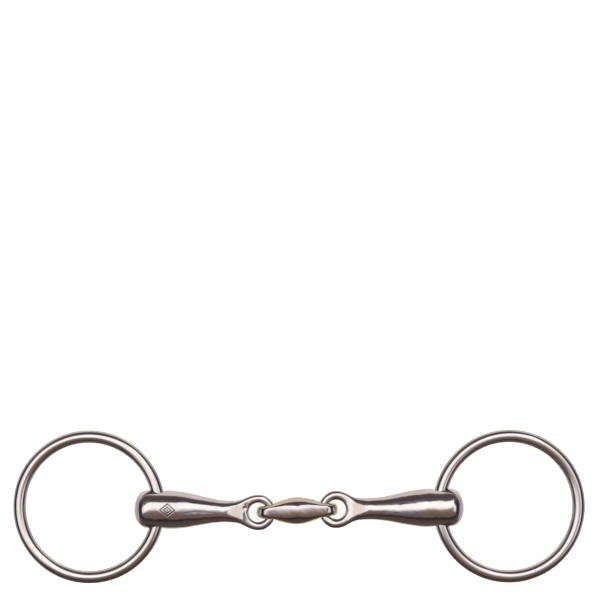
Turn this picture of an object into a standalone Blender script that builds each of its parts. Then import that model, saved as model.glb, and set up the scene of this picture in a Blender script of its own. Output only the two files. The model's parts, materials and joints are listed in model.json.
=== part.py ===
"""Double-jointed loose-ring snaffle bit, lying flat on a surface.

Five pieces: two round rings that run loose through the outer ends of two mouthpiece arms (the
cannons), and a lozenge link that joins the cannons in the middle. Metres, +X along the mouthpiece
to the right, +Z up, with the origin on the surface under the middle of the bit.
"""

import math

import bmesh
import bpy
from mathutils import Matrix

# Driving dimensions
MOUTH_WIDTH = 0.135  # between the two ring holes
LINK_LENGTH = 0.0387
LINK_MIDDLE_WIDTH = 0.0134
LINK_END_WIDTH = 0.0069
LINK_HEIGHT = 0.0134
LINK_WAIST_REACH = 0.0165  # from the link's middle to where its sides run parallel
LINK_END_RADIUS = 0.0026  # rounding of the link's ends, seen from above
LINK_MIDDLE_BULGE = 2.2  # superellipse power of the link's cross-section at its middle
LINK_END_BULGE = 3.2  # and at its ends, where it is squarer
LINK_HOLE_FROM_END = 0.007
LINK_HOLE_RADIUS = 0.00325
LINK_HOLE_CHAMFER = 0.0008

EYE_RING_RADIUS = 0.0064  # centreline of the eye at a cannon's inner end
EYE_ROD_RADIUS = 0.0019
EYE_SIDE_STRETCH = 1.07  # the eye is slightly wider across the cannon than along it
EYE_FROM_LINK_END = 0.00075  # the link's end reaches this far past the eye's centre

CANNON_RADIUS = 0.0091
CANNON_NECK_RADIUS = 0.0052
CANNON_DOME_LENGTH = 0.0051  # the rounded outer end
CANNON_END_REACH = 0.011  # from the ring hole's axis to the outer end
CANNON_TAPER_START = 0.006  # from the ring hole's axis, inwards
CANNON_TAPER_END = 0.034
FLARE_START = 0.0105  # the neck widens and flattens from here to its root in the eye, from the eye's centre
FLARE_END = 0.003
FLARE_HALF_WIDTH = 0.0084
FLARE_HALF_HEIGHT = 0.0019
FLARE_POWER = 1.35

RING_RADIUS = 0.0335  # centreline
RING_ROD_RADIUS = 0.003
RING_HOLE_RADIUS = 0.0039
RING_HOLE_CHAMFER = 0.0004
MOUTH_CLEARANCE = 0.0015  # how far a hole's cutter runs past the piece's surface

# How the pieces lie: the link is off the middle, so the left cannon is the shorter one; each cannon
# rises a little outwards, and turns a little out of line
LINK_X = -0.0009
CANNON_RISE = math.radians(1.75)
CANNON_TURN = {"left": math.radians(1.8), "right": math.radians(1.0)}
RING_HOLE_Y = {"left": -0.0012, "right": -0.0004}

# Facets
RING_STEPS = 64
ROD_STEPS = 12
TURN_STEPS = 28
EYE_STEPS = 40
HOLE_STEPS = 28
DOME_STEPS = 6
TAPER_STEPS = 8
FLARE_STEPS = 5
LINK_RINGS = 22
LINK_SIDES = 24
MERGE_WITHIN = 0.00001
SHARP_ANGLE = math.radians(40)

STEEL_COLOUR = (0.62, 0.6, 0.59, 1.0)
STEEL_ROUGHNESS = 0.12
LINK_COLOUR = (0.6, 0.58, 0.56, 1.0)
LINK_ROUGHNESS = 0.14

# Sizes that follow from the driving dimensions
LINK_HOLE_OFFSET = LINK_LENGTH / 2 - LINK_HOLE_FROM_END
EYE_REACH = LINK_LENGTH / 2 - EYE_FROM_LINK_END
EYE_X = {"left": LINK_X - EYE_REACH, "right": LINK_X + EYE_REACH}
CANNON_LENGTH = {side: MOUTH_WIDTH / 2 - abs(EYE_X[side]) for side in EYE_X}  # eye centre to ring hole
HOLE_AXIS_HEIGHT = CANNON_RADIUS + CANNON_TAPER_START * math.sin(CANNON_RISE)
EYE_HEIGHT = {
    side: HOLE_AXIS_HEIGHT - CANNON_LENGTH[side] * math.sin(CANNON_RISE) for side in CANNON_LENGTH
}
RING_SAG = RING_RADIUS - math.sqrt(RING_RADIUS**2 - CANNON_RADIUS**2)
RING_CENTRE_FROM_HOLE = RING_RADIUS - RING_SAG / 2  # the curved rod sits centrally in its straight hole
RING_DROP = math.asin((HOLE_AXIS_HEIGHT - RING_ROD_RADIUS) / (RING_CENTRE_FROM_HOLE + RING_RADIUS))


def clear_scene():
    for old in list(bpy.data.objects):
        bpy.data.objects.remove(old, do_unlink=True)


def new_collection(name):
    made = bpy.data.collections.new(name)
    bpy.context.scene.collection.children.link(made)
    return made


def metal(name, colour, roughness):
    made = bpy.data.materials.new(name)
    made.use_nodes = True
    shader = made.node_tree.nodes["Principled BSDF"]
    shader.inputs["Base Color"].default_value = colour
    shader.inputs["Metallic"].default_value = 1.0
    shader.inputs["Roughness"].default_value = roughness
    return made


def new_object(name, mesh, collection):
    made = bpy.data.objects.new(name, mesh)
    collection.objects.link(made)
    return made


def new_empty(name, parent, location, rotation, collection):
    made = new_object(name, None, collection)
    made.parent = parent
    made.location = location
    made.rotation_euler = rotation
    return made


def torus_mesh(name, major, minor, major_steps, minor_steps, stretch=1.0):
    """A ring about Z, stretched along Y."""
    bpy.ops.mesh.primitive_torus_add(
        major_radius=major,
        minor_radius=minor,
        major_segments=major_steps,
        minor_segments=minor_steps,
    )
    made = bpy.context.object
    mesh = made.data
    mesh.name = name
    mesh.transform(Matrix.Diagonal((1.0, stretch, 1.0, 1.0)))
    bpy.data.objects.remove(made, do_unlink=True)
    return mesh


def turned_mesh(name, profile, steps):
    """The closed solid that (height, radius) points, top to bottom, make when turned about X."""
    mesh = bpy.data.meshes.new(name + "_profile")
    points = [(radius, 0.0, height) for height, radius in profile]
    mesh.from_pydata(points, [(i, i + 1) for i in range(len(points) - 1)], [])
    turned = new_object(name, mesh, bpy.context.scene.collection)
    screw = turned.modifiers.new("Screw", "SCREW")
    screw.steps = steps
    screw.render_steps = steps
    screw.use_merge_vertices = True
    screw.merge_threshold = MERGE_WITHIN
    made = bpy.data.meshes.new_from_object(
        turned.evaluated_get(bpy.context.evaluated_depsgraph_get())
    )
    made.transform(Matrix.Rotation(math.pi / 2, 4, "Y"))
    bpy.data.objects.remove(turned, do_unlink=True)
    return made


def cylinder_mesh(name, radius, depth, steps):
    """A cylinder about Z."""
    shape = bmesh.new()
    bmesh.ops.create_cone(
        shape,
        cap_ends=True,
        segments=steps,
        radius1=radius,
        radius2=radius,
        depth=depth,
    )
    made = bpy.data.meshes.new(name)
    shape.to_mesh(made)
    shape.free()
    return made


def cutter(name, mesh, target, location, rotation, collection):
    """A shape that is only used to cut or join, carried by the piece that it works on."""
    made = new_object(name, mesh, collection)
    made.parent = target
    made.location = location
    made.rotation_euler = rotation
    made.hide_render = True
    made.display_type = "WIRE"
    return made


def boolean(target, tool, operation):
    step = target.modifiers.new(tool.name, "BOOLEAN")
    step.operation = operation
    step.solver = "EXACT"
    step.object = tool


def bore(target, name, at, radius, half_length, chamfer, collection):
    """A hole along Y through a piece, flared at both mouths."""
    past = half_length + MOUTH_CLEARANCE
    wide = radius + chamfer + MOUTH_CLEARANCE
    straight = half_length - chamfer
    half = [(past, 0.0), (past, wide), (straight, radius)]
    profile = half + [(-height, across) for height, across in reversed(half)]
    hole = turned_mesh(name, profile, HOLE_STEPS)
    along_y = (0.0, 0.0, math.pi / 2)
    boolean(target, cutter(name, hole, target, at, along_y, collection), "DIFFERENCE")


def flare_radius(share):
    """Radius of the turned flare, from the neck at share 0 to its root in the eye at share 1."""
    return CANNON_NECK_RADIUS + (FLARE_HALF_WIDTH - CANNON_NECK_RADIUS) * share**FLARE_POWER


def cannon_profile(length):
    """Radius along the cannon: domed outer end, cylinder, taper, neck and flare."""
    dome_at = length + CANNON_END_REACH - CANNON_DOME_LENGTH
    taper_at = length - CANNON_TAPER_START
    taper_length = CANNON_TAPER_END - CANNON_TAPER_START
    middle_radius = (CANNON_RADIUS + CANNON_NECK_RADIUS) / 2
    swing = (CANNON_RADIUS - CANNON_NECK_RADIUS) / 2
    points = []
    for i in range(DOME_STEPS + 1):
        angle = math.pi / 2 * i / DOME_STEPS
        x = dome_at + CANNON_DOME_LENGTH * math.cos(angle)
        points.append((x, CANNON_RADIUS * math.sin(angle)))
    for i in range(TAPER_STEPS + 1):
        share = i / TAPER_STEPS
        radius = middle_radius + swing * math.cos(math.pi * share)
        points.append((taper_at - taper_length * share, radius))
    for i in range(FLARE_STEPS + 1):
        share = i / FLARE_STEPS
        x = FLARE_START + (FLARE_END - FLARE_START) * share
        points.append((x, flare_radius(share)))
    points.append((FLARE_END, 0.0))
    return points


def flatten_flare(mesh):
    """Squeezes the turned flare along Z, until it is as thin as the eye that it runs into."""
    for vertex in mesh.vertices:
        share = (FLARE_START - vertex.co.x) / (FLARE_START - FLARE_END)
        if share > 0:
            ease = (1 - math.cos(math.pi * share)) / 2
            height = CANNON_NECK_RADIUS + (FLARE_HALF_HEIGHT - CANNON_NECK_RADIUS) * ease
            vertex.co.z *= height / flare_radius(share)


def build_cannon(name, length, parent, parts, cutters):
    """One mouthpiece arm, with its origin at the centre of its eye and +X towards its outer end."""
    mesh = turned_mesh(name, cannon_profile(length), TURN_STEPS)
    flatten_flare(mesh)
    made = new_object(name, mesh, parts)
    made.parent = parent
    still = (0.0, 0.0, 0.0)

    opening_name = f"{name}_eye_opening"
    opening = cylinder_mesh(opening_name, EYE_RING_RADIUS, 2 * CANNON_RADIUS, EYE_STEPS)
    opening.transform(Matrix.Diagonal((1.0, EYE_SIDE_STRETCH, 1.0, 1.0)))
    tool = cutter(opening_name, opening, made, still, still, cutters)
    boolean(made, tool, "DIFFERENCE")

    eye = torus_mesh(
        f"{name}_eye",
        EYE_RING_RADIUS,
        EYE_ROD_RADIUS,
        EYE_STEPS,
        ROD_STEPS,
        EYE_SIDE_STRETCH,
    )
    tool = cutter(f"{name}_eye", eye, made, still, still, cutters)
    boolean(made, tool, "UNION")

    bore(
        made,
        f"{name}_ring_hole",
        (length, 0.0, 0.0),
        RING_HOLE_RADIUS,
        CANNON_RADIUS,
        RING_HOLE_CHAMFER,
        cutters,
    )
    return made


def link_half_width(x):
    """Half of the link's width, seen from above: a lozenge with parallel ends that are rounded off."""
    middle, end = LINK_MIDDLE_WIDTH / 2, LINK_END_WIDTH / 2
    reach = min(abs(x) / LINK_WAIST_REACH, 1.0)
    width = end + (middle - end) / 2 * (1 + math.cos(math.pi * reach))
    into_end = abs(x) - (LINK_LENGTH / 2 - LINK_END_RADIUS)
    if into_end > 0:
        width -= LINK_END_RADIUS - math.sqrt(max(LINK_END_RADIUS**2 - into_end**2, 0.0))
    return width


def link_half_height(x):
    """Half of the link's height, seen from the side: level, with half-round ends about the holes."""
    half = LINK_HEIGHT / 2
    into_end = max(abs(x) - (LINK_LENGTH / 2 - half), 0.0)
    return math.sqrt(max(half**2 - into_end**2, 0.0))


def superellipse(angle, width, height, power):
    across, up = math.cos(angle), math.sin(angle)
    y = math.copysign(abs(across) ** (2 / power), across)
    z = math.copysign(abs(up) ** (2 / power), up)
    return width * y, height * z


def build_link(name, parent, parts, cutters):
    """The lozenge: a sphere whose rings take the link's cross-sections, with a hole in each end."""
    body = bmesh.new()
    bmesh.ops.create_uvsphere(
        body, u_segments=LINK_SIDES, v_segments=LINK_RINGS, radius=1.0
    )
    body.transform(Matrix.Rotation(math.pi / 2, 4, "Y"))
    for vertex in body.verts:
        x = LINK_LENGTH / 2 * vertex.co.x
        angle = math.atan2(vertex.co.z, vertex.co.y)
        toward_end = min(abs(x) / LINK_WAIST_REACH, 1.0)
        power = LINK_MIDDLE_BULGE + (LINK_END_BULGE - LINK_MIDDLE_BULGE) * toward_end
        at_pole = abs(x) > LINK_LENGTH / 2 - MERGE_WITHIN
        width, height = (0.0, 0.0) if at_pole else (link_half_width(x), link_half_height(x))
        vertex.co = (x, *superellipse(angle, width, height, power))
    mesh = bpy.data.meshes.new(name)
    body.to_mesh(mesh)
    body.free()
    made = new_object(name, mesh, parts)
    made.parent = parent
    for label, side in (("left", -1), ("right", 1)):
        bore(
            made,
            f"{name}_{label}_hole",
            (side * LINK_HOLE_OFFSET, 0.0, 0.0),
            LINK_HOLE_RADIUS,
            LINK_END_WIDTH / 2,
            LINK_HOLE_CHAMFER,
            cutters,
        )
    return made


def build_ring(name, parent, parts):
    """A loose ring, carried by an empty on the axis of the hole that it runs through."""
    mesh = torus_mesh(name, RING_RADIUS, RING_ROD_RADIUS, RING_STEPS, ROD_STEPS)
    made = new_object(name, mesh, parts)
    made.parent = parent
    made.location = (RING_CENTRE_FROM_HOLE, 0.0, 0.0)
    return made


def main():
    clear_scene()
    parts = new_collection("snaffle_bit")
    cutters = new_collection("cutters")
    steel = metal("polished_steel", STEEL_COLOUR, STEEL_ROUGHNESS)
    warm_steel = metal("polished_warm_alloy", LINK_COLOUR, LINK_ROUGHNESS)

    # the cannons' eyes set where the link lies, and how far it is turned
    eye_y = {
        side: RING_HOLE_Y[side] - CANNON_LENGTH[side] * math.sin(CANNON_TURN[side])
        for side in CANNON_TURN
    }
    link_at = new_empty(
        "centre_link_place",
        None,
        (LINK_X, (eye_y["left"] + eye_y["right"]) / 2, LINK_HEIGHT / 2),
        (0.0, 0.0, math.atan2(eye_y["right"] - eye_y["left"], 2 * EYE_REACH)),
        parts,
    )
    link = build_link("centre_link", link_at, parts, cutters)
    link.data.materials.append(warm_steel)

    for side, turn in CANNON_TURN.items():
        length = CANNON_LENGTH[side]
        heading = turn if side == "right" else math.pi - turn
        fold_axis = new_empty(
            f"{side}_fold_axis",
            None,
            (EYE_X[side], eye_y[side], EYE_HEIGHT[side]),
            (0.0, -CANNON_RISE, heading),
            parts,
        )
        cannon = build_cannon(f"{side}_cannon", length, fold_axis, parts, cutters)
        hole_axis = new_empty(
            f"{side}_swing_axis",
            fold_axis,
            (length, 0.0, 0.0),
            (0.0, CANNON_RISE + RING_DROP, 0.0),
            parts,
        )
        ring = build_ring(f"{side}_ring", hole_axis, parts)
        for piece in (cannon, ring):
            piece.data.materials.append(steel)

    for piece in parts.objects:
        if piece.type == "MESH":
            piece.data.shade_smooth()
            piece.data.set_sharp_from_angle(angle=SHARP_ANGLE)


main()
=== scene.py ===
"""Looks of the double-jointed loose-ring snaffle bit: five pieces of mirror-polished metal.

Each CAD solid is stood for by a finer piece of the same overall size, in the same place. The rings are smooth
tori. The cannons and the link are remeshed copies of their CAD solids, moved onto a smooth surface that a
formula gives.
"""

import json
import math

import bmesh
import bpy
import numpy as np
from mathutils import Matrix, Vector


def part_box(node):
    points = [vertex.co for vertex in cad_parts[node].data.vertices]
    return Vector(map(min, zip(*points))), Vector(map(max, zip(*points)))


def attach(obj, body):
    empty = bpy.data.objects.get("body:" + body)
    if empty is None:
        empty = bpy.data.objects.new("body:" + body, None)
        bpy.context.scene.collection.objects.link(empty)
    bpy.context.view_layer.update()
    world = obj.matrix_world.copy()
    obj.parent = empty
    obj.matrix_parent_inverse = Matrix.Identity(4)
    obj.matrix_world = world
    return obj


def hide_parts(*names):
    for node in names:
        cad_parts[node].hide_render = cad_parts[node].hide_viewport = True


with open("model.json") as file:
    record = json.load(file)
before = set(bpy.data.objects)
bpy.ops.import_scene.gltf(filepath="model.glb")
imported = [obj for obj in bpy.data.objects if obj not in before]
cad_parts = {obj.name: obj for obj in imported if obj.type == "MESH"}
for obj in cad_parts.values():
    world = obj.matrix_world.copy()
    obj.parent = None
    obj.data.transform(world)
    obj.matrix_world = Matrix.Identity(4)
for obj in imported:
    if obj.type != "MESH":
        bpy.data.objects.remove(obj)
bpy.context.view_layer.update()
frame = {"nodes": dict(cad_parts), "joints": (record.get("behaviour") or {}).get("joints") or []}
MM = 0.001
SIDES = ("left", "right")
JOINTS = {joint["name"]: joint for joint in frame["joints"]}
EYES = {side: Vector(JOINTS[f"{side}_cannon_fold"]["pos_m"]) for side in SIDES}
HOLES = {side: Vector(JOINTS[f"{side}_ring_swing"]["pos_m"]) for side in SIDES}

# Cannon, measured along its axis from the centre of its eye unless a name says otherwise
CANNON_RADIUS = 9.1 * MM
NECK_RADIUS = 5.2 * MM
DOME_LENGTH = 8.2 * MM
DOME_POWER = 3.0  # 2 would make the end an ellipsoid, and more makes it blunter
END_PAST_HOLE = 11.0 * MM
TAPER_FROM_HOLE = (6.0 * MM, 34.0 * MM)  # where the taper starts and ends, back from the ring hole
EYE_REACH = 8.3 * MM
EYE_HALF_WIDTH = {"left": 8.5 * MM, "right": 9.0 * MM}
EYE_OPENING_RADIUS = 4.55 * MM
EYE_HALF_HEIGHT = 1.75 * MM
SHOULDER_BLEND = 4.5 * MM
WEB_THICKENS = (4.6 * MM, 16.8 * MM)  # from the flat web beside the eye to the round body
PIT_AT = (6.5 * MM, -2.0 * MM)  # a small dent in the left cannon's web
PIT_DEPTH = 0.45 * MM
PIT_RADIUS = 0.75 * MM
RING_HOLE_RADIUS = 3.9 * MM
MOUTH_ROUNDING = 0.55 * MM
CANNON_WAVE = 0.035 * MM  # how deep the polishing waves are

# Link
LINK_LENGTH = 38.7 * MM
LINK_MIDDLE_HALF_WIDTH = 6.7 * MM
LINK_END_HALF_WIDTH = 3.45 * MM
LINK_HALF_HEIGHT = 6.7 * MM
LINK_WAIST_REACH = 16.5 * MM  # how far from its middle it is down to the width of its ends
LINK_PLAN_ROUNDING = 2.6 * MM
LINK_TIP_CLEARANCE = 0.999  # keeps the rounding in plan just clear of the tip, which the end's curve makes
LINK_BULGE = (1.75, 3.2)  # the power of its section's curve, at the middle and at the ends: 2 is an ellipse
LINK_BELLY = 1.05  # how much wider it would be without its leaning sides
LINK_SIDE_SLANT = (0.36, 0.46)  # how far its -Y and +Y sides lean in, as shares of its half width
LINK_SLANT_FADE = 0.6  # the share of the lean that is gone at the ends
LINK_SLANT_START = 0.2  # eases the lean in from mid-height, as a share of the half height
LINK_EDGE_ROUNDING = 0.9 * MM
LINK_CROWN = 1.025  # how much taller its middle would be without the flat on top
LINK_FLAT_ROUNDING = 0.5 * MM
LINK_TOP_SLOPE = 0.06  # its upper side is worn lower towards -Y
LINK_HOLE_FROM_END = 7.0 * MM
LINK_HOLE_RADIUS = 3.25 * MM
LINK_MOUTH_ROUNDING = 1.1 * MM
LINK_WAVE = 0.03 * MM

# Generic mark engraved on the left cannon: two rhombi about a dot
MARK_FROM_HOLE = 4.65 * MM
MARK_ACROSS = -0.15 * MM
MARK_HALF_SIZE = (3.5 * MM, 3.1 * MM)
MARK_RHOMBI = (1.0, 0.5)  # the sizes of the two rhombi, as shares of the mark's
MARK_DEPTH = 0.16 * MM
MARK_LINE = 0.2 * MM
MARK_DOT_RADIUS = 1.8 * MARK_LINE
MARK_DOT_POWER = 4  # gives the dot a flat middle
MARK_REACH = 4.2 * MM  # how far from the mark's middle the mesh is refined

# Waves that hand polishing leaves. Each row has a share of the depth, the radians per mm along x, y and z of
# two waves that cross, and where the first of them starts.
POLISH_WAVES = (
    (1.0, (0.52, 0.31, 0.0), (0.17, 0.43, -0.38), 0.9),
    (0.6, (0.23, -0.66, 0.0), (0.29, 0.0, 0.71), 2.1),
    (0.35, (1.3, 0.8, 0.0), (0.4, 1.1, -0.9), 0.5),
)

# Meshes
RING_STEPS = (384, 48)  # round the ring, and round its rod
VOXEL = 0.3 * MM
MARK_CUTS = 3
UPPER_SIDE = 0.3  # a face is on the upper side when its normal rises more than this
SLOPE_STEP = 0.02 * MM
SURFACE_ROUNDS = 10
LONGEST_MOVE = 0.3 * MM
LEAST_SLOPE_SQUARED = 0.05  # stops long moves where the field is nearly flat
SAME_POINT_DIGITS = 7  # CAD vertices that agree to this many decimals of a metre are one point
TINY = 1e-9  # keeps a division away from zero

# Metals: a pale and a deep tone, and the tint at grazing angles
STEEL_PALE = (0.64, 0.62, 0.61)
ARM_TONES = (STEEL_PALE, (0.58, 0.555, 0.545), (1.0, 0.97, 0.95))
RING_TONES = (STEEL_PALE, (0.58, 0.56, 0.55), (0.6, 0.56, 0.55))
LINK_TONES = ((0.6, 0.58, 0.565), (0.54, 0.515, 0.505), (1.0, 0.86, 0.48))
SCRATCH_GRAIN = (40.0, 1400.0)  # scale of their noise along the scratches and across them, per metre
STRAY_TURN = (0.3, 0.2, 0.7)  # how far the stray scratches are turned, in radians
SCRATCH_TINT = 0.12
SCRATCH_COLOUR = (0.3, 0.28, 0.27)
SCRATCH_HEIGHT = -0.4
ENGRAVED_TINT = 0.85
ENGRAVED_COLOUR = (0.1, 0.085, 0.08)
CLEAN_ROUGHNESS = 0.05
SMEAR_ROUGHNESS = 0.05  # this and the next two are added to the clean roughness
SCRATCH_ROUGHNESS = 0.06
ENGRAVED_ROUGHNESS = 0.3
BUMP_STRENGTH = 0.12
BUMP_DISTANCE = 0.02 * MM

# Camera and paper
CAMERA_PLACE = (0.45 * MM, 98.5 * MM, 2.0)  # the bit lies low in the picture
VIEW_HALF_WIDTH = 142.85 * MM  # at the height of the mouthpiece's axis
AXIS_HEIGHT = 9.3 * MM
CAMERA_SEES_TO = 10.0
FLOOR_SIZE = 4.0
PAPER_TONES = ((0.9, 0.9, 0.9), (0.93, 0.93, 0.925))
PAPER_ROUGHNESS = 0.9
PAPER_LIGHT = 2.3

# Studio, as the metal sees it. All angles are in degrees: tilt is from straight up towards +Y, side is
# towards +X, and slant is the tilt plus the side times the softbox's lean. A pair of angles says where a part
# has faded out and where it is full.
SOFTBOX_LEAN = 0.45  # minus this up to the turn, and plus this past it
SOFTBOX_TURN = (27.0, 38.0)  # the side angles where the turn starts and ends
SOFTBOX_LOW_SLANT = (-18.0, 12.0)
SOFTBOX_HIGH_SLANT = (49.0, 37.0)
SOFTBOX_SIDE = (60.0, 52.0)
COOL_NEAR_SIDE = (8.0, 18.0)
COOL_FAR_SIDE = (36.0, 28.0)
COOL_LOW_SLANT = (-34.0, -18.0)
COOL_HIGH_SLANT = (60.0, 52.0)
COOL_SHARE = 0.9
COOL_TONES = ((0.045, 0.045, 0.1), (0.3, 0.29, 0.4))
SIDE_WALLS = (0.7, 0.97)  # the share of a level direction that is along X, where the side walls take over
LEAST_LEVEL = 0.001  # keeps that share defined straight up and straight down

# Colour of the room at tilt / 360 + 0.5
ROOM_BY_TILT = (
    (0.0, (0.9, 0.8, 0.74)),
    (0.11, (0.88, 0.77, 0.68)),
    (0.128, (0.16, 0.11, 0.095)),
    (0.2, (0.13, 0.092, 0.08)),
    (0.27, (0.11, 0.08, 0.072)),
    (0.31, (0.05, 0.034, 0.034)),
    (0.335, (0.06, 0.042, 0.042)),
    (0.355, (0.21, 0.15, 0.13)),
    (0.4, (0.22, 0.155, 0.13)),
    (0.455, (0.34, 0.24, 0.21)),
    (0.6, (0.3, 0.25, 0.26)),
    (0.645, (0.16, 0.125, 0.14)),
    (0.69, (0.105, 0.08, 0.085)),
    (0.735, (0.13, 0.1, 0.1)),
    (0.765, (0.22, 0.17, 0.165)),
    (0.782, (0.93, 0.84, 0.8)),
    (0.86, (0.93, 0.85, 0.82)),
    (1.0, (0.78, 0.73, 0.71)),
)
# Colour of the side walls at the angle from straight up / 180
ROOM_BY_SIDE = (
    (0.0, (0.75, 0.72, 0.76)),
    (0.1, (1.1, 1.05, 1.05)),
    (0.2, (1.1, 1.0, 0.95)),
    (0.25, (1.1, 0.9, 0.78)),
    (0.28, (0.9, 0.62, 0.45)),
    (0.31, (0.2, 0.14, 0.13)),
    (0.36, (0.045, 0.04, 0.06)),
    (0.46, (0.04, 0.045, 0.09)),
    (0.54, (0.06, 0.075, 0.15)),
    (0.585, (0.3, 0.4, 0.65)),
    (0.62, (0.9, 0.85, 0.84)),
    (0.66, (0.3, 0.25, 0.24)),
    (0.7, (0.7, 0.6, 0.55)),
    (0.85, (0.8, 0.7, 0.65)),
    (1.0, (0.85, 0.8, 0.78)),
)
# Colour of the softbox at the side angle / 90, the same on both sides
SOFTBOX_BY_SIDE = (
    (0.3, (1.62, 1.57, 1.55)),
    (0.45, (1.22, 1.12, 1.08)),
    (0.55, (1.22, 1.08, 1.02)),
    (0.62, (1.25, 0.85, 0.56)),
)


def smooth_union(a, b, blend):
    """The union of two signed distances, with the corner between them filled in over the blend's length."""
    share = np.clip(0.5 + 0.5 * (b - a) / blend, 0.0, 1.0)
    return b * (1 - share) + a * share - blend * share * (1 - share)


def smooth_cut(body, tool, blend):
    """The body with the tool taken out of it, and the edge between them rounded."""
    return -smooth_union(-body, tool, blend)


def polish_wave(points, depth):
    """The slight unevenness that hand polishing leaves."""
    in_mm = points / MM
    total = np.zeros(len(points))
    for share, wave, crossing, start in POLISH_WAVES:
        total += share * np.sin(in_mm @ wave + start) * np.cos(in_mm @ crossing)
    return depth * total


def ease(value, low, high):
    """0 up to low, 1 from high, and a smooth rise between."""
    share = np.clip((value - low) / (high - low), 0.0, 1.0)
    return share * share * (3 - 2 * share)


def cannon_field(side, length):
    """Signed distance, roughly, to a cannon's surface; negative inside.

    In plan the turned body blends into the eye's oval, with the opening left out. The edges are rounded over
    to the height of each place, which gives a round rod in the eye, a flat web behind it and a round body
    further out.
    """
    dome_at = length + END_PAST_HOLE - DOME_LENGTH
    taper_at = length - TAPER_FROM_HOLE[0]
    taper_length = TAPER_FROM_HOLE[1] - TAPER_FROM_HOLE[0]
    eye_width = EYE_HALF_WIDTH[side]
    flank_height = (eye_width - EYE_OPENING_RADIUS) / 2
    middle_radius = (CANNON_RADIUS + NECK_RADIUS) / 2
    swell = (CANNON_RADIUS - NECK_RADIUS) / 2

    def field(points):
        x, y, z = points.T
        share = np.clip((taper_at - x) / taper_length, 0.0, 1.0)
        radius = middle_radius + swell * np.cos(np.pi * share)
        across_eye = np.hypot(x / EYE_REACH, y / eye_width)
        oval = (across_eye - 1) * np.hypot(x, y) / np.maximum(across_eye, TINY)
        outline = smooth_union(np.maximum(np.abs(y) - radius, -x), oval, SHOULDER_BLEND)
        inset = np.minimum(-outline, np.hypot(x, y) - EYE_OPENING_RADIUS)
        beside = np.clip(1 - np.abs(x) / EYE_REACH, 0.0, 1.0)
        height = EYE_HALF_HEIGHT + (flank_height - EYE_HALF_HEIGHT) * beside
        height = height + (radius - height) * ease(x, *WEB_THICKENS)
        body = np.hypot(np.maximum(height - inset, 0.0), z) - height

        dome = np.clip((x - dome_at) / DOME_LENGTH, 0.0, None) ** DOME_POWER
        domed = (np.sqrt(dome + (y**2 + z**2) / radius**2) - 1) * radius
        body = np.where(x > WEB_THICKENS[1], domed, body)
        hole = np.hypot(x - length, z) - RING_HOLE_RADIUS
        body = smooth_cut(body, hole, MOUTH_ROUNDING) + polish_wave(points, CANNON_WAVE)
        if side == "left":
            body += MARK_DEPTH * mark_line(x - (length - MARK_FROM_HOLE), y - MARK_ACROSS) * (z > 0)
            pit = np.hypot(x - PIT_AT[0], y - PIT_AT[1]) / PIT_RADIUS
            body += PIT_DEPTH * np.exp(-(pit**2)) * (z > 0)
        return body

    return field


def mark_line(u, v):
    """1 in the middle of the mark's lines and in its dot, and 0 away from them.

    The point is u along the cannon and v across it, from the mark's middle.
    """
    across = np.abs(u) / MARK_HALF_SIZE[0] + np.abs(v) / MARK_HALF_SIZE[1]
    steepness = math.hypot(1 / MARK_HALF_SIZE[0], 1 / MARK_HALF_SIZE[1])
    marked = np.exp(-((np.hypot(u, v) / MARK_DOT_RADIUS) ** MARK_DOT_POWER))
    for size in MARK_RHOMBI:
        from_line = (across - size) / steepness
        marked = np.maximum(marked, np.exp(-((from_line / MARK_LINE) ** 2)))
    return marked


def link_field(points):
    """Signed distance, roughly, to the link's surface, with +X along it; negative inside."""
    x, y, z = points.T
    reach = np.clip(np.abs(x) / LINK_WAIST_REACH, 0.0, 1.0)
    spread = (LINK_MIDDLE_HALF_WIDTH - LINK_END_HALF_WIDTH) / 2
    width = LINK_END_HALF_WIDTH + spread * (1 + np.cos(np.pi * reach))
    power = LINK_BULGE[0] + (LINK_BULGE[1] - LINK_BULGE[0]) * reach
    into_end = np.clip(np.abs(x) - (LINK_LENGTH / 2 - LINK_HALF_HEIGHT), 0.0, None)
    worn = z - LINK_TOP_SLOPE * y * np.clip(z / LINK_HALF_HEIGHT, 0.0, 1.0)
    crown = LINK_CROWN + (1 - LINK_CROWN) * reach
    upright = np.hypot(into_end, worn / crown) / LINK_HALF_HEIGHT
    round_in = np.clip(np.abs(x) - (LINK_LENGTH / 2 - LINK_PLAN_ROUNDING), 0.0, None) / LINK_PLAN_ROUNDING
    across = np.abs(y) / width
    body = ((across / LINK_BELLY) ** power + upright**power) ** (1 / power)
    body = np.maximum(body, np.hypot(round_in * LINK_TIP_CLEARANCE, across))
    body = (body - 1) * np.minimum(width, LINK_HALF_HEIGHT)
    slant = np.where(y < 0, *LINK_SIDE_SLANT) * (1 - LINK_SLANT_FADE * reach)
    rise = np.hypot(upright, LINK_SLANT_START) - LINK_SLANT_START
    leaning = (across + slant * rise - 1) * width
    body = smooth_cut(body, -leaning, LINK_EDGE_ROUNDING)
    body = smooth_cut(body, LINK_HALF_HEIGHT - np.abs(worn), LINK_FLAT_ROUNDING)
    hole = np.hypot(np.abs(x) - (LINK_LENGTH / 2 - LINK_HOLE_FROM_END), z) - LINK_HOLE_RADIUS
    return smooth_cut(body, hole, LINK_MOUTH_ROUNDING) + polish_wave(points, LINK_WAVE)


def slope_of(field, points):
    """How fast the field grows along x, y and z at each point."""
    steps = SLOPE_STEP * np.eye(3)
    sides = [(field(points + step) - field(points - step)) / (2 * SLOPE_STEP) for step in steps]
    return np.stack(sides, axis=1)


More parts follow.
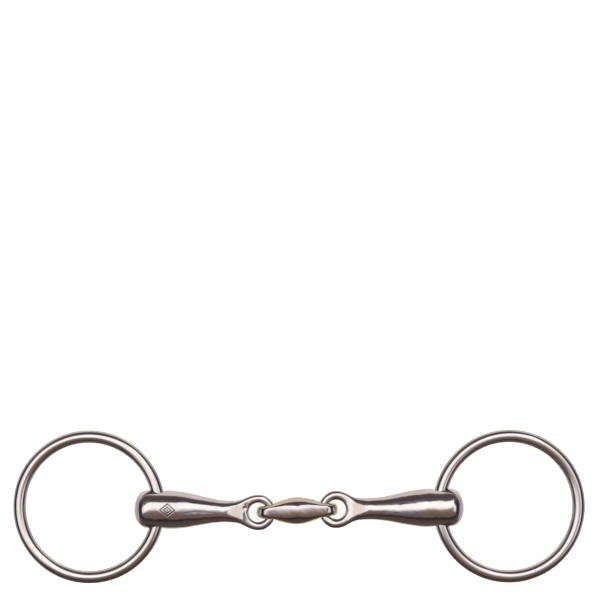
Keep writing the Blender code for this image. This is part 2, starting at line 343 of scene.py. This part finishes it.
def onto_surface(field, points):
    """Moves points along the field's slope until they lie on the surface."""
    for _ in range(SURFACE_ROUNDS):
        slope = slope_of(field, points)
        slope_squared = np.maximum((slope**2).sum(axis=1), LEAST_SLOPE_SQUARED)
        move = slope * (field(points) / slope_squared)[:, None]
        size = np.linalg.norm(move, axis=1, keepdims=True)
        points = points - move * np.minimum(1.0, LONGEST_MOVE / np.maximum(size, TINY))
    return points


def vertex_array(mesh):
    """A mesh's vertices as an array, with a row for each."""
    points = np.empty(len(mesh.vertices) * 3)
    mesh.vertices.foreach_get("co", points)
    return points.reshape(-1, 3)


def remeshed(name, node):
    """An even, fine mesh of a CAD solid, as a new object."""
    piece = bpy.data.objects.new(name, frame["nodes"][node].data.copy())
    bpy.context.scene.collection.objects.link(piece)
    piece.data.materials.clear()
    remesh = piece.modifiers.new("Remesh", "REMESH")
    remesh.mode = "VOXEL"
    remesh.voxel_size = VOXEL
    evaluated = piece.evaluated_get(bpy.context.evaluated_depsgraph_get())
    fine = bpy.data.meshes.new_from_object(evaluated)
    piece.modifiers.clear()
    piece.data = fine
    fine.name = name
    return piece


def fit_to_field(piece, field, place):
    """Puts every vertex on the field's surface, and takes the shading normals from its slope."""
    to_local = np.array(place.inverted())
    to_world = np.array(place)
    local = vertex_array(piece.data) @ to_local[:3, :3].T + to_local[:3, 3]
    local = onto_surface(field, local)
    normals = slope_of(field, local)
    normals /= np.linalg.norm(normals, axis=1, keepdims=True)
    world = local @ to_world[:3, :3].T + to_world[:3, 3]
    piece.data.vertices.foreach_set("co", world.ravel())
    piece.data.update()
    piece.data.shade_smooth()
    piece.data.normals_split_custom_set_from_vertices(normals @ to_world[:3, :3].T)


def frame_of(origin, x_axis, y_axis):
    """A placement with the given origin and axes, and +Z facing up."""
    x_axis, y_axis = Vector(x_axis).normalized(), Vector(y_axis).normalized()
    z_axis = x_axis.cross(y_axis)
    if z_axis.z < 0:
        y_axis, z_axis = -y_axis, -z_axis
    axes = Matrix((x_axis, y_axis, z_axis)).transposed()
    return Matrix.Translation(origin) @ axes.to_4x4()


def refine_near(mesh, middle, reach):
    """Splits the faces on the upper side near a point, for detail smaller than the mesh's own spacing."""
    shape = bmesh.new()
    shape.from_mesh(mesh)
    for face in shape.faces:
        near = (face.calc_center_median() - middle).length < reach
        face.tag = near and face.normal.z > UPPER_SIDE
    edges = [edge for edge in shape.edges if any(face.tag for face in edge.link_faces)]
    bmesh.ops.subdivide_edges(shape, edges=edges, cuts=MARK_CUTS, use_grid_fill=True)
    shape.to_mesh(mesh)
    shape.free()


def build_cannon(side, material):
    """One arm of the mouthpiece. The left one has the engraved mark and the dent."""
    eye, hole = EYES[side], HOLES[side]
    length = (hole - eye).length
    place = frame_of(eye, hole - eye, JOINTS[f"{side}_ring_swing"]["axis"])
    piece = remeshed(f"{side}_cannon_fine", f"{side}_cannon")
    if side == "left":
        middle = place @ Vector((length - MARK_FROM_HOLE, MARK_ACROSS, CANNON_RADIUS))
        refine_near(piece.data, middle, MARK_REACH)
    fit_to_field(piece, cannon_field(side, length), place)
    if side == "left":
        local = vertex_array(piece.data) - np.array(place.translation)
        x, y, z = (local @ np.array(place.to_3x3())).T
        lines = mark_line(x - (length - MARK_FROM_HOLE), y - MARK_ACROSS) * (z > 0)
        engraving = piece.data.attributes.new("engraving", "FLOAT", "POINT")
        engraving.data.foreach_set("value", lines)
    piece.data.materials.append(material)
    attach(piece, f"{side}_cannon")
    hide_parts(f"{side}_cannon")


def build_link(material):
    """The lozenge link, which lies level between the two cannons' eyes."""
    low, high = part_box("centre_link")
    along = EYES["right"] - EYES["left"]
    along.z = 0.0
    middle = (EYES["left"] + EYES["right"]) / 2
    middle.z = (low.z + high.z) / 2
    place = frame_of(middle, along, (-along.y, along.x, 0.0))
    piece = remeshed("centre_link_fine", "centre_link")
    fit_to_field(piece, link_field, place)
    piece.data.materials.append(material)
    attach(piece, "centre_link")
    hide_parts("centre_link")


def build_ring(side, material):
    """A smooth torus on the CAD ring's own circle, which its vertices give."""
    points = vertex_array(frame["nodes"][f"{side}_ring"].data)
    points = np.unique(np.round(points, SAME_POINT_DIGITS), axis=0)
    centre = (points.min(axis=0) + points.max(axis=0)) / 2
    axes = np.linalg.svd(points - points.mean(axis=0), full_matrices=False)[2]
    normal = axes[2] if axes[2][2] > 0 else -axes[2]
    reach = np.linalg.norm(np.cross(points - centre, normal), axis=1)
    bpy.ops.mesh.primitive_torus_add(
        major_radius=(reach.max() + reach.min()) / 2,
        minor_radius=(reach.max() - reach.min()) / 2,
        major_segments=RING_STEPS[0],
        minor_segments=RING_STEPS[1],
    )
    piece = bpy.context.object
    piece.name = f"{side}_ring_fine"
    to_hole = HOLES[side] - Vector(centre)
    place = frame_of(Vector(centre), to_hole, np.cross(normal, to_hole))
    piece.data.transform(place)
    piece.data.shade_smooth()
    piece.data.materials.append(material)
    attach(piece, f"{side}_ring")
    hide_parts(f"{side}_ring")


class Nodes:
    """Short calls that build a node tree."""

    # The Mix node has sockets for every data type, and these are the ones for colours
    MIX_INPUTS = (0, 6, 7)
    MIX_RESULT = 2

    def __init__(self, tree):
        self.tree = tree

    def add(self, kind, inputs=None, **settings):
        node = self.tree.nodes.new(kind)
        for name, value in settings.items():
            setattr(node, name, value)
        for socket, value in (inputs or {}).items():
            self.feed(node.inputs[socket], value)
        return node

    def feed(self, socket, value):
        if isinstance(value, bpy.types.NodeSocket):
            self.tree.links.new(value, socket)
        else:
            socket.default_value = value

    def maths(self, operation, *values):
        return self.add("ShaderNodeMath", dict(enumerate(values)), operation=operation).outputs[0]

    def ramp(self, value, stops):
        node = self.add("ShaderNodeValToRGB", {"Fac": value})
        elements = node.color_ramp.elements
        while len(elements) < len(stops):
            elements.new(1.0)
        for element, (position, colour) in zip(elements, stops):
            element.position = position
            element.color = (*colour, 1.0)
        return node.outputs["Color"]

    def rise(self, value, low, high):
        """0 up to low, 1 from high, and a smooth rise between."""
        inputs = {"Value": value, "From Min": low, "From Max": high}
        return self.add("ShaderNodeMapRange", inputs, interpolation_type="SMOOTHSTEP").outputs["Result"]

    def blend(self, share, a, b):
        node = self.add("ShaderNodeMix", data_type="RGBA")
        for socket, value in zip(self.MIX_INPUTS, (share, a, b)):
            value = (*value, 1.0) if isinstance(value, tuple) and len(value) == 3 else value
            self.feed(node.inputs[socket], value)
        return node.outputs[self.MIX_RESULT]

    def noise(self, coordinates, scale, detail):
        inputs = {"Vector": coordinates, "Scale": scale, "Detail": detail}
        return self.add("ShaderNodeTexNoise", inputs).outputs["Fac"]


def steel(name, tones, along):
    """Mirror-polished metal: faint uneven tone, dull patches, and fine scratches that run along one axis."""
    pale, deep, grazing = tones
    material = bpy.data.materials.new(name)
    material.use_nodes = True
    nodes = Nodes(material.node_tree)
    shader = material.node_tree.nodes["Principled BSDF"]
    shader.inputs["Metallic"].default_value = 1.0
    shader.inputs["Specular Tint"].default_value = (*grazing, 1.0)
    place = nodes.add("ShaderNodeTexCoord").outputs["Object"]

    tone = nodes.rise(nodes.noise(place, scale=90.0, detail=3.0), low=0.3, high=0.7)
    squeeze = tuple(SCRATCH_GRAIN[0] if axis == along else SCRATCH_GRAIN[1] for axis in range(3))
    streaks = nodes.add("ShaderNodeMapping", {"Vector": place, "Scale": squeeze}).outputs[0]
    scratches = nodes.rise(nodes.noise(streaks, scale=1.0, detail=3.0), low=0.62, high=0.72)
    turned = nodes.add("ShaderNodeMapping", {"Vector": place, "Rotation": STRAY_TURN, "Scale": squeeze})
    stray = nodes.rise(nodes.noise(turned.outputs[0], scale=0.7, detail=2.0), low=0.68, high=0.74)
    marks = nodes.maths("MAXIMUM", scratches, stray)
    smears = nodes.rise(nodes.noise(place, scale=260.0, detail=4.0), low=0.45, high=0.75)
    engraved = nodes.add("ShaderNodeAttribute", attribute_name="engraving").outputs["Fac"]

    colour = nodes.blend(tone, pale, deep)
    colour = nodes.blend(nodes.maths("MULTIPLY", marks, SCRATCH_TINT), colour, SCRATCH_COLOUR)
    colour = nodes.blend(nodes.maths("MULTIPLY", engraved, ENGRAVED_TINT), colour, ENGRAVED_COLOUR)
    nodes.feed(shader.inputs["Base Color"], colour)
    rough = nodes.maths("MULTIPLY_ADD", smears, SMEAR_ROUGHNESS, CLEAN_ROUGHNESS)
    rough = nodes.maths("MULTIPLY_ADD", marks, SCRATCH_ROUGHNESS, rough)
    rough = nodes.maths("MULTIPLY_ADD", engraved, ENGRAVED_ROUGHNESS, rough)
    nodes.feed(shader.inputs["Roughness"], rough)
    grain = nodes.noise(place, scale=900.0, detail=2.0)
    relief = nodes.maths("MULTIPLY_ADD", marks, SCRATCH_HEIGHT, grain)
    bump_inputs = {"Strength": BUMP_STRENGTH, "Distance": BUMP_DISTANCE, "Height": relief}
    bump = nodes.add("ShaderNodeBump", bump_inputs)
    nodes.feed(shader.inputs["Normal"], bump.outputs[0])
    return material


def build_camera():
    """Looks straight down, from far enough that the view hardly narrows."""
    data = bpy.data.cameras.new("camera")
    camera = bpy.data.objects.new("camera", data)
    bpy.context.scene.collection.objects.link(camera)
    camera.location = CAMERA_PLACE
    data.angle = 2 * math.atan(VIEW_HALF_WIDTH / (CAMERA_PLACE[2] - AXIS_HEIGHT))
    data.clip_end = CAMERA_SEES_TO
    bpy.context.scene.camera = camera


def build_floor():
    """White paper, which the metal doesn't reflect: the studio's own colours stand in for it there."""
    bpy.ops.mesh.primitive_plane_add(size=FLOOR_SIZE)
    floor = bpy.context.object
    floor.name = "floor"
    material = bpy.data.materials.new("white_paper")
    material.use_nodes = True
    nodes = Nodes(material.node_tree)
    shader = material.node_tree.nodes["Principled BSDF"]
    place = nodes.add("ShaderNodeTexCoord").outputs["Object"]
    fibres = nodes.noise(place, scale=400.0, detail=4.0)
    nodes.feed(shader.inputs["Base Color"], nodes.blend(fibres, *PAPER_TONES))
    shader.inputs["Roughness"].default_value = PAPER_ROUGHNESS
    floor.data.materials.append(material)
    floor.visible_glossy = False


def degrees(nodes, radians):
    return nodes.maths("MULTIPLY", radians, 180 / math.pi)


def build_world():
    """A studio that only reflections see, and a plain white background that lights the rest.

    The studio is a room of brown shade over pale paper, with a long softbox overhead and a cool patch on the
    +X and -X sides of the middle.
    """
    world = bpy.data.worlds.new("studio")
    bpy.context.scene.world = world
    world.use_nodes = True
    world.cycles.sampling_method = "NONE"
    nodes = Nodes(world.node_tree)
    toward = nodes.add("ShaderNodeTexCoord").outputs["Generated"]
    x, y, z = nodes.add("ShaderNodeSeparateXYZ", {"Vector": toward}).outputs
    tilt = degrees(nodes, nodes.maths("ARCTAN2", y, z))
    side = degrees(nodes, nodes.maths("ARCSINE", x))
    off_side = nodes.maths("ABSOLUTE", side)
    from_zenith = degrees(nodes, nodes.maths("ARCCOSINE", z))

    turn = nodes.maths("MULTIPLY_ADD", tilt, 1 / 360, 0.5)
    room = nodes.ramp(turn, ROOM_BY_TILT)
    to_side = nodes.ramp(nodes.maths("DIVIDE", from_zenith, 180.0), ROOM_BY_SIDE)
    level = nodes.maths("SQRT", nodes.maths("MULTIPLY_ADD", x, x, nodes.maths("MULTIPLY", y, y)))
    level = nodes.maths("MAXIMUM", level, LEAST_LEVEL)
    sideways = nodes.maths("DIVIDE", nodes.maths("ABSOLUTE", x), level)
    room = nodes.blend(nodes.rise(sideways, *SIDE_WALLS), room, to_side)

    turned = nodes.rise(side, *SOFTBOX_TURN)
    lean = nodes.maths("MULTIPLY_ADD", turned, 2 * SOFTBOX_LEAN, -SOFTBOX_LEAN)
    slant = nodes.maths("MULTIPLY_ADD", side, lean, tilt)
    past_low = nodes.rise(slant, *SOFTBOX_LOW_SLANT)
    before_high = nodes.rise(slant, *SOFTBOX_HIGH_SLANT)
    within = nodes.rise(off_side, *SOFTBOX_SIDE)
    softbox = nodes.maths("MULTIPLY", nodes.maths("MULTIPLY", past_low, before_high), within)
    glow = nodes.ramp(nodes.maths("DIVIDE", off_side, 90.0), SOFTBOX_BY_SIDE)

    cool = nodes.rise(off_side, *COOL_NEAR_SIDE)
    cool = nodes.maths("MULTIPLY", cool, nodes.rise(off_side, *COOL_FAR_SIDE))
    cool = nodes.maths("MULTIPLY", cool, nodes.rise(slant, *COOL_LOW_SLANT))
    cool = nodes.maths("MULTIPLY", cool, nodes.rise(slant, *COOL_HIGH_SLANT))
    cool = nodes.maths("MULTIPLY", cool, COOL_SHARE)
    mottle = nodes.rise(nodes.noise(toward, scale=7.0, detail=3.0), low=0.4, high=0.56)
    room = nodes.blend(cool, room, nodes.blend(mottle, *COOL_TONES))
    studio = nodes.blend(softbox, room, glow)

    glossy = nodes.add("ShaderNodeLightPath").outputs["Is Glossy Ray"]
    seen = nodes.add("ShaderNodeBackground", {"Color": studio})
    plain = nodes.add("ShaderNodeBackground", {"Color": (1.0, 1.0, 1.0, 1.0), "Strength": PAPER_LIGHT})
    mixed = nodes.add("ShaderNodeMixShader", {0: glossy, 1: plain.outputs[0], 2: seen.outputs[0]})
    output = world.node_tree.nodes["World Output"]
    nodes.feed(output.inputs["Surface"], mixed.outputs[0])


arm_steel = steel("arm_steel", ARM_TONES, along=0)
ring_steel = steel("ring_steel", RING_TONES, along=1)
link_steel = steel("link_steel", LINK_TONES, along=0)
for side in SIDES:
    build_cannon(side, arm_steel)
    build_ring(side, ring_steel)
build_link(link_steel)
build_camera()
build_floor()
build_world()
bpy.context.scene.view_settings.view_transform = "Standard"
